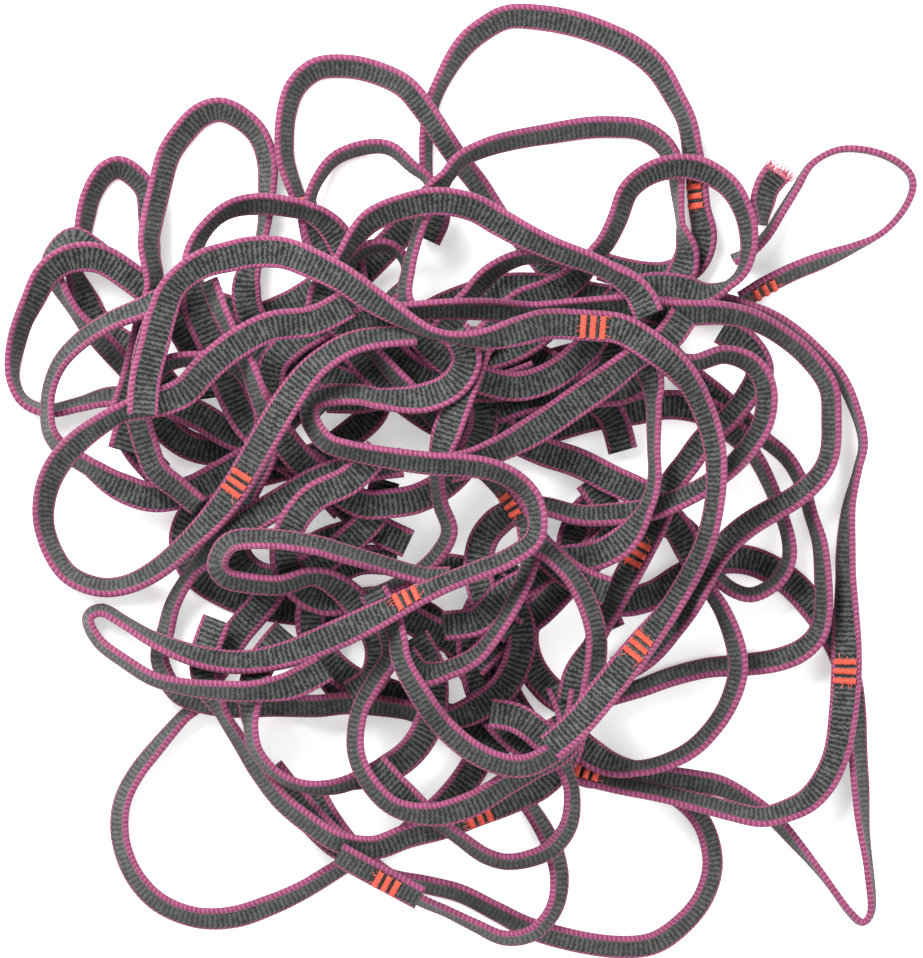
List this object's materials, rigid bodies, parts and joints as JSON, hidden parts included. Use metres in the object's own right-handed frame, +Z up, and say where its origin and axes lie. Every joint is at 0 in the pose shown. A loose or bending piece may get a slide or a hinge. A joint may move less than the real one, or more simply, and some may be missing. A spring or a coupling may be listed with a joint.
{
  "type": "sewn webbing chain",
  "caption": "Flat webbing chain sewn into pockets with bar tacks, lying in a loose heap, with an end loop and a cut tail.",
  "frame": {"origin": "on the ground under the middle of the heap", "axes": "+Z up from the ground, +Y along the longest side of the heap, +X along the shorter side"},
  "size_m": [0.3146, 0.331, 0.0758],
  "materials": {
    "webbing": "woven",
    "webbing_moving": "woven",
    "stitching": "thread"
  },
  "bodies": {
    "heap": {"end_loop_root_a": "webbing", "end_loop_root_b": "webbing", "cut_tail": "webbing", "tack_north_east": "stitching", "top_arch_root_a": "webbing", "top_arch_root_b": "webbing", "left_outer_arch": "webbing", "left_fold": "webbing", "left_low_loop": "webbing", "lower_left_arch": "webbing", "bottom_arch": "webbing", "bottom_inner_arch": "webbing", "corner_fold": "webbing", "tack_east": "stitching", "tack_south": "stitching", "right_outer_run": "webbing", "right_middle_run": "webbing", "right_inner_loop": "webbing", "south_bend": "webbing", "left_inner_arch": "webbing", "upper_left_arch": "webbing", "upper_left_inner": "webbing", "upper_inner_run": "webbing", "upper_right_ring": "webbing", "left_low_run": "webbing", "left_small_arch": "webbing", "left_cross_run": "webbing", "left_slant_run": "webbing", "lower_left_bend": "webbing", "lower_left_curve": "webbing", "lower_small_curve": "webbing", "bottom_ring": "webbing", "tack_south_west": "stitching", "tack_stub_south": "webbing", "upper_ring": "webbing", "small_ring": "webbing", "upper_link": "webbing", "tack_east_inner": "stitching", "tack_ribbon_east": "webbing", "right_ring": "webbing", "middle_drop": "webbing", "middle_slant": "webbing", "middle_hook": "webbing", "east_run": "webbing", "lower_west_curve": "webbing", "west_descent": "webbing", "upper_long_run": "webbing", "south_long_curve": "webbing", "middle_face": "webbing", "lower_hook": "webbing", "south_ring": "webbing", "tack_middle": "stitching", "middle_long_run": "webbing", "tack_west": "stitching", "west_long_run": "webbing", "tack_upper_middle": "stitching", "tack_south_east": "stitching", "top_long_run": "webbing"},
    "end_loop": {"end_loop": "webbing_moving"},
    "top_arch": {"top_arch": "webbing_moving"}
  },
  "joints": [
    {"name": "end_loop_lift", "type": "hinge", "parent": "heap", "child": "end_loop", "pos_m": [0.11152, 0.09348, 0.01119], "axis": [0.6357, -0.7719, 0], "range_deg": [0, 60]},
    {"name": "top_arch_lift", "type": "hinge", "parent": "heap", "child": "top_arch", "pos_m": [-0.00449, 0.14148, 0.01099], "axis": [0.9797, -0.2007, 0], "range_deg": [0, 60]}
  ]
}
